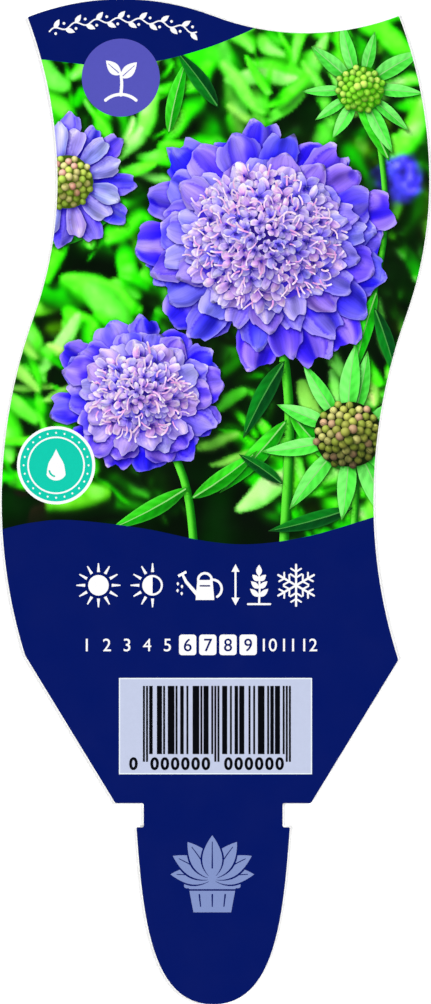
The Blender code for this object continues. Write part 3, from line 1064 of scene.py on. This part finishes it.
def printMaterial():
    material, tree, shader = newMaterial("printed_front")
    colour = addNode(tree, "ShaderNodeAttribute", attribute_name="printColour").outputs["Color"]
    place = addNode(tree, "ShaderNodeAttribute", attribute_name="petalPlace").outputs["Vector"]
    amount = addNode(tree, "ShaderNodeAttribute", attribute_name="petalStreak").outputs["Fac"]
    stretch = addNode(tree, "ShaderNodeVectorMath", {0: place, 1: (1.6, 7.0, 60.0)}, operation="MULTIPLY")
    veins = addNode(tree, "ShaderNodeTexNoise", {"Vector": stretch.outputs["Vector"], "Scale": 1.0, "Detail": 4.0,
                                                 "Roughness": 0.65}).outputs["Fac"]
    swing = mathNode(tree, "MULTIPLY", mathNode(tree, "SUBTRACT", veins, 0.5), amount)
    level = mathNode(tree, "ADD", mathNode(tree, "MULTIPLY", swing, 1.1), 1.0)
    veined = addNode(tree, "ShaderNodeVectorMath", {0: colour, "Scale": level}, operation="SCALE")
    grained(tree, shader, veined.outputs["Vector"], inkValues)
    return material


flatMap = {"name": "OFBake", "hiddenStrip": 0.016}      # the face fills the map above a strip for its thin sides


def addFlatMap(mesh, faceCorners):
    spots = np.zeros(len(mesh.vertices) * 3)
    mesh.vertices.foreach_get("co", spots)
    spots = spots.reshape(-1, 3)
    low, high = spots.min(axis=0), spots.max(axis=0)
    owners = np.zeros(len(mesh.loops), int)
    mesh.loops.foreach_get("vertex_index", owners)
    share = ((spots - low) / (high - low))[owners]
    strip = flatMap["hiddenStrip"]
    places = np.column_stack((0.002 + 0.996 * share[:, 0], strip + (0.998 - strip) * share[:, 1]))
    sides = share[faceCorners:]
    places[faceCorners:, 0] = 0.002 + 0.9 * sides[:, 0] + 0.003 * sides[:, 1]
    places[faceCorners:, 1] = 0.002 + 0.3 * strip * sides[:, 1] + 0.3 * strip * sides[:, 2]
    layer = mesh.uv_layers.new(name=flatMap["name"])
    layer.uv.foreach_set("vector", places.ravel())


def buildFront():
    places, triangles = frontTriangles()
    top = topShapes(places[triangles].mean(axis=1))
    used = np.unique(triangles)
    print("front print: points", len(used), "triangles", len(triangles))
    colour, place, streak = frontColours(places, triangles, top)
    piece = buildFilm("front_print", places, triangles, "sheet", "print", printMaterial(), True)
    mesh = piece.data
    corners = len(mesh.loops)
    shades = np.ones((corners, 4))
    shades[:, :3] = linearColour(pictureFrame["navy"])
    shades[:len(colour), :3] = linearColour(colour)
    mesh.color_attributes.new("printColour", "FLOAT_COLOR", "CORNER").data.foreach_set("color", shades.ravel())
    vectors = np.zeros((corners, 3))
    vectors[:len(place)] = place
    mesh.attributes.new("petalPlace", "FLOAT_VECTOR", "CORNER").data.foreach_set("vector", vectors.ravel())
    amounts = np.zeros(corners)
    amounts[:len(streak)] = streak
    mesh.attributes.new("petalStreak", "FLOAT", "CORNER").data.foreach_set("value", amounts)
    addFlatMap(mesh, len(colour))
    return piece


buildFront()


# Two round badges, one with a sprout and one with a drop
violetBadge = {"place": (-16.1, 72.1), "radius": 6.63}
tealBadge = {"place": (-27.1, 6.2), "radius": 6.15, "ring": 0.5, "innerRing": 4.9}


def sproutShapes(x, y, size):
    shapes = [(stroke(smoothThrough([(0.0, -3.0), (0.15, -1.2), (0.0, 0.6)], 5), 0.55, 0.8), True),
              (leafOutline((0.0, -0.2), 38, 3.6, 1.9, 0.10), True), (leafOutline((0.0, 0.3), 142, 3.3, 1.8, -0.10), True),
              (stroke([(0.35, 0.1), (2.2, 1.75)], 0.16, 0.6), False), (stroke([(-0.35, 0.6), (-2.0, 2.05)], 0.16, 0.6), False),
              (stroke(arcPoints(0.0, -6.6, 3.7, 48, 132, 16), 0.5), True)]
    return [(moved(outline, x, y, size), ink) for outline, ink in shapes]


def buildBadges():
    x, y = violetBadge["place"]
    printMark("violet_badge", [(circle(x, y, violetBadge["radius"], 96), True)], "print", "badge", inks["violet"])
    printMark("sprout_mark", sproutShapes(x, y + 0.2, 1.05), "badge", "mark", inks["white"])
    x, y = tealBadge["place"]
    radius = tealBadge["radius"]
    printMark("teal_badge", [(circle(x, y, radius, 96), True)], "print", "badge", inks["teal"])
    rim = radius + tealBadge["ring"]
    printMark("teal_badge_rim", [(circle(x, y, rim, 96), True), (circle(x, y, radius, 96), False)],
              "print", "badge", inks["white"])
    inner = tealBadge["innerRing"]
    shapes = [(circle(x, y, inner, 72), True), (circle(x, y, inner - 0.28, 72), False)]
    side = arcPoints(0.0, 0.0, 1.75, 180 + 28, 360 - 28, 20)
    drop = [(0.0, 3.35)] + smoothThrough([(-0.55, 2.2), (-1.25, 0.95), side[0]], 4)[:-1] + side
    drop += smoothThrough([side[-1], (1.25, 0.95), (0.55, 2.2)], 4)[1:]
    shapes.append((moved(drop, x, y - 0.75, 1.05), True))
    glint = stroke(arcPoints(0.0, 0.0, 1.1, 190, 255, 8), 0.3)
    shapes.append((moved(glint, x, y - 0.75, 1.05), False))
    for i in range(24):
        angle = math.radians(15 * i)
        shapes.append((circle(x + 5.52 * math.cos(angle), y + 5.52 * math.sin(angle), 0.17, 10), True))
    printMark("drop_mark", shapes, "badge", "mark", inks["white"])


buildBadges()
print("badges printed")


# A white vine along the crest
vine = {"centre": (-15.9, 42.0), "radius": 39.9, "start": 108.0, "end": 71.5, "swing": 0.38, "waves": 7,
        "line": 0.24, "leaf": 1.75, "leafWidth": 0.85}


def buildVine():
    cx, cy = vine["centre"]
    count = 120
    line = []
    for i in range(count + 1):
        share = i / count
        angle = math.radians(vine["start"] + (vine["end"] - vine["start"]) * share)
        radius = vine["radius"] + vine["swing"] * math.sin(2 * math.pi * vine["waves"] * share)
        line.append((cx + radius * math.cos(angle), cy + radius * math.sin(angle)))
    shapes = [(stroke(line, vine["line"]), True)]
    for k in range(2 * vine["waves"]):
        share = (k + 0.5) / (2 * vine["waves"])
        angle = vine["start"] + (vine["end"] - vine["start"]) * share
        outer = k % 2 == 0
        radius = vine["radius"] + vine["swing"] * (1 if outer else -1) * 0.8
        x = cx + radius * math.cos(math.radians(angle))
        y = cy + radius * math.sin(math.radians(angle))
        lean = 38 if outer else -38
        shapes.append((leafOutline((x, y), angle - 90 + lean, vine["leaf"], vine["leafWidth"], 0.08), True))
        back = radius + (-0.95 if outer else 0.95)
        a = math.radians(angle)
        shapes.append((circle(cx + back * math.cos(a), cy + back * math.sin(a), 0.24, 14), True))
    printMark("vine_line", shapes, "print", "badge", inks["white"])


buildVine()


# Care signs in a row, and below them a year's months with the flowering ones marked
careSigns = {"y": -14.2, "x": [-19.9, -10.7, -3.0, 5.9, 13.7]}
monthStrip = {"left": -23.6, "pitch": 3.43, "y": -25.4, "height": 2.15, "marked": (6, 7, 8, 9),
              "box": (2.95, 3.5), "weight": 0.014, "fourWeight": 0.003}     # a heavier 4 would fill up


def sunShapes(x, y, half):
    shapes = []
    if half:
        shapes += [(circle(0.0, 0.0, 1.75, 40), True), (circle(0.0, 0.0, 1.4, 40), False),
                   (arcPoints(0.0, 0.0, 1.58, 90, 270, 20), True)]
    else:
        shapes.append((circle(0.0, 0.0, 1.75, 40), True))
    for i in range(12):
        angle = 30 * i
        if half and not 90 <= angle <= 270:
            continue
        ray = [(2.25, -0.26), (2.25, 0.26), (3.75, 0.10), (3.75, -0.10)]
        shapes.append((turned(ray, angle), True))
    return [(moved(outline, x, y), ink) for outline, ink in shapes]


def canShapes(x, y):
    shapes = [([(-0.9, -2.5), (2.3, -2.5), (2.0, 0.9), (-0.6, 0.9)], True),
              (stroke([(-0.6, -1.6), (-2.5, 0.6), (-3.0, 1.6)], 0.62, 0.7), True),
              ([(-3.75, 1.35), (-2.35, 2.1), (-2.55, 2.5), (-3.95, 1.75)], True),
              (stroke(arcPoints(2.0, -0.6, 1.55, -60, 100, 18), 0.42), True),
              (stroke(arcPoints(0.7, 0.9, 1.15, 0, 180, 16), 0.42), True),
              (stroke([(-0.1, -0.1), (1.5, -0.1)], 0.26), False)]
    for dx, dy in ((-3.9, 0.55), (-3.2, 0.1), (-3.95, -0.6), (-3.25, -1.1)):
        shapes.append((leafOutline((dx, dy), 270, 0.62, 0.4), True))
    return [(moved(outline, x + 0.5, y), ink) for outline, ink in shapes]


def heightShapes(x, y):
    shapes = [(stroke([(-0.4, -3.2), (3.4, -3.2)], 0.34), True),
              (stroke(smoothThrough([(1.5, -3.1), (1.6, -0.5), (1.5, 2.0)], 5), 0.36, 0.8), True),
              (leafOutline((1.5, 1.6), 90, 1.9, 1.0), True),
              (stroke([(-2.5, -2.5), (-2.5, 2.7)], 0.34), True),
              ([(-3.2, 2.3), (-1.8, 2.3), (-2.5, 3.6)], True), ([(-3.2, -2.1), (-2.5, -3.4), (-1.8, -2.1)], True)]
    for height, length in ((-1.9, 2.0), (-0.5, 1.8), (0.8, 1.5)):
        shapes.append((leafOutline((1.55, height), 35, length, 0.9, 0.1), True))
        shapes.append((leafOutline((1.5, height), 145, length, 0.9, -0.1), True))
    return [(moved(outline, x, y), ink) for outline, ink in shapes]


def frostShapes(x, y):
    shapes = []
    for i in range(6):
        angle = 60 * i + 30
        arm = [(stroke([(0.0, 0.0), (3.5, 0.0)], 0.36), True)]
        for start, size in ((1.3, 0.95), (2.3, 0.85)):
            arm += [(stroke([(start, 0.0), (start + size * 0.62, side * size)], 0.3), True) for side in (-1, 1)]
        shapes += [(turned(outline, angle), ink) for outline, ink in arm]
    return [(moved(outline, x, y), ink) for outline, ink in shapes]


def buildCareSigns():
    x, y = careSigns["x"], careSigns["y"]
    signs = {"full_sun_sign": sunShapes(x[0], y, False), "half_sun_sign": sunShapes(x[1], y, True),
             "water_sign": canShapes(x[2], y), "height_sign": heightShapes(x[3], y),
             "frost_sign": frostShapes(x[4], y)}
    for name, shapes in signs.items():
        printMark(name, shapes, "print", "badge", inks["white"])


def buildMonths():
    plain, marked, boxes = [], [], []
    for month in range(1, 13):
        x = monthStrip["left"] + monthStrip["pitch"] * (month - 0.5)
        width, height = monthStrip["box"]
        inBox = month in monthStrip["marked"]
        if inBox:
            middle = monthStrip["y"] + monthStrip["height"] / 2
            boxes.append((roundedBox(x - width / 2, middle - height / 2, x + width / 2, middle + height / 2, 0.5), True))
        weight = monthStrip["fourWeight" if month == 4 else "weight"]
        figures = digitTriangles(str(month), monthStrip["height"], x, monthStrip["y"], weight)
        (marked if inBox else plain).append(figures)
    printMark("flowering_months", boxes, "print", "badge", inks["white"])
    buildFilm("month_figures", *joined(plain), "print", "badge", inks["white"])
    buildFilm("flowering_figures", *joined(marked), "badge", "mark", inks["navy"])


buildCareSigns()
buildMonths()
print("care signs and months printed")


# The bar panel: bars drawn by chance, so that they stand for no product, and zeros below
barPanel = {"left": -16.41, "right": 16.41, "top": -29.95, "bottom": -46.33, "edge": 0.2,
            "barsLeft": -12.3, "module": 0.264, "barsTop": -31.3, "barsBottom": -42.9, "guardBottom": -44.2,
            "figureFoot": -45.5, "figureHeight": 2.0, "figureWeight": 0.1, "inkGain": 0.035, "seed": 40}


def barRuns():      # pairs of first module and width, 95 modules with longer guards at the ends and the middle
    chance = random.Random(barPanel["seed"])
    guards = [(0, 1), (2, 1), (46, 1), (48, 1), (92, 1), (94, 1)]
    bars = []
    for start, end in ((4, 45), (51, 91)):
        at = start
        while at < end:
            width = min(chance.choice((1, 1, 2, 2, 3, 4)), end - at)
            bars.append((at, width))
            at += width + chance.choice((1, 1, 2, 2, 3))
    return guards, bars


def buildPanel():
    p = barPanel
    box = [(p["left"], p["bottom"]), (p["right"], p["bottom"]), (p["right"], p["top"]), (p["left"], p["top"])]
    inset = [(x - math.copysign(p["edge"], x), y - p["edge"] * (1 if y == p["top"] else -1)) for x, y in box]
    printMark("panel_edge", [(box, True), (inset, False)], "print", "badge", inks["panelEdge"])
    printMark("bar_panel", [(inset, True)], "print", "badge", inks["panel"])
    guards, bars = barRuns()
    shapes = []
    for runs, foot in ((guards, p["guardBottom"]), (bars, p["barsBottom"])):
        for start, width in runs:
            left = p["barsLeft"] + start * p["module"] - p["inkGain"]
            right = left + width * p["module"] + 2 * p["inkGain"]
            shapes.append(([(left, foot), (right, foot), (right, p["barsTop"]), (left, p["barsTop"])], True))
    printMark("bars", shapes, "badge", "mark", inks["black"])
    middle = p["barsLeft"] + 47.5 * p["module"]
    places = [p["barsLeft"] - 1.65]
    for start in (p["barsLeft"] + 4 * p["module"], middle + 4 * p["module"]):
        places += [start + (6.6 * i + 3.4) * p["module"] for i in range(6)]
    zeros = [digitTriangles("0", p["figureHeight"], x, p["figureFoot"], p["figureWeight"]) for x in places]
    buildFilm("panel_zeros", *joined(zeros), "badge", "mark", inks["black"])


buildPanel()
print("bar panel printed")


# A potted plant on the tongue, with lines left open in it
potMark = {"place": (-0.55, -63.4), "size": 1.0}


def buildPotMark():
    shapes = [([(-4.1, -1.6), (4.1, -1.6), (3.2, -6.4), (-3.2, -6.4)], True),
              (roundedBox(-4.8, -2.3, 4.8, -0.6, 0.4), True), (stroke([(-4.3, -2.6), (4.3, -2.6)], 0.28), False)]
    for angle, length, width in ((13, 7.1, 3.1), (167, 7.1, 3.1), (37, 7.7, 3.5), (143, 7.7, 3.5), (63, 7.5, 3.6),
                                 (117, 7.5, 3.6), (90, 7.4, 3.4)):
        bend = 0.12 if angle > 90 else -0.12 if angle < 90 else 0.0
        shapes.append((leafOutline((0.0, -0.7), angle, length * 1.03, width * 1.18, bend, 12), False))
        shapes.append((leafOutline((0.0, -0.7), angle, length, width, bend, 12), True))
        turn = math.radians(angle)
        along, across = (math.cos(turn), math.sin(turn)), (-math.sin(turn), math.cos(turn))
        rib = [(along[0] * u * length + across[0] * bend * length * u * u,
                -0.7 + along[1] * u * length + across[1] * bend * length * u * u) for u in (0.25, 0.45, 0.65, 0.85)]
        shapes.append((stroke(rib, 0.26, 0.5), False))
    shapes.append((circle(0.0, -0.6, 0.75, 20), True))
    for x in (-2.2, 0.0, 2.2):
        shapes.append((stroke([(x, -3.4), (x * 0.9, -5.4)], 0.28, 0.7), False))
    x, y = potMark["place"]
    printMark("pot_mark", [(moved(outline, x, y, potMark["size"]), ink) for outline, ink in shapes],
              "print", "badge", inks["paleBlue"])


buildPotMark()
print("tongue mark printed")


# Floor: a pale, faintly glowing table, so that the thin sheet's shadow stays light
floorLook = {"colour": (250, 250, 250), "glow": 0.13,
             "grain": {"Mottle": 0.006, "Mottle Scale": 60.0, "Gloss": 0.8, "Gloss Spread": 0.05,
                       "Grain Scale": 900.0, "Grain Height": 0.0}}


def buildFloor():
    material, tree, shader = newMaterial("pale_floor", specular=0.1)
    grained(tree, shader, floorLook["colour"], floorLook["grain"])
    shader.inputs["Emission Color"].default_value = (1.0, 1.0, 1.0, 1.0)
    shader.inputs["Emission Strength"].default_value = floorLook["glow"]
    mesh = bpy.data.meshes.new("floor")
    half = 6.0
    mesh.from_pydata([(-half, -half, 0), (half, -half, 0), (half, half, 0), (-half, half, 0)], [], [(0, 1, 2, 3)])
    mesh.materials.append(material)
    floor = bpy.data.objects.new("floor", mesh)
    floor.location.z = cadLow.z - 0.02 * mm
    bpy.context.collection.objects.link(floor)


buildFloor()
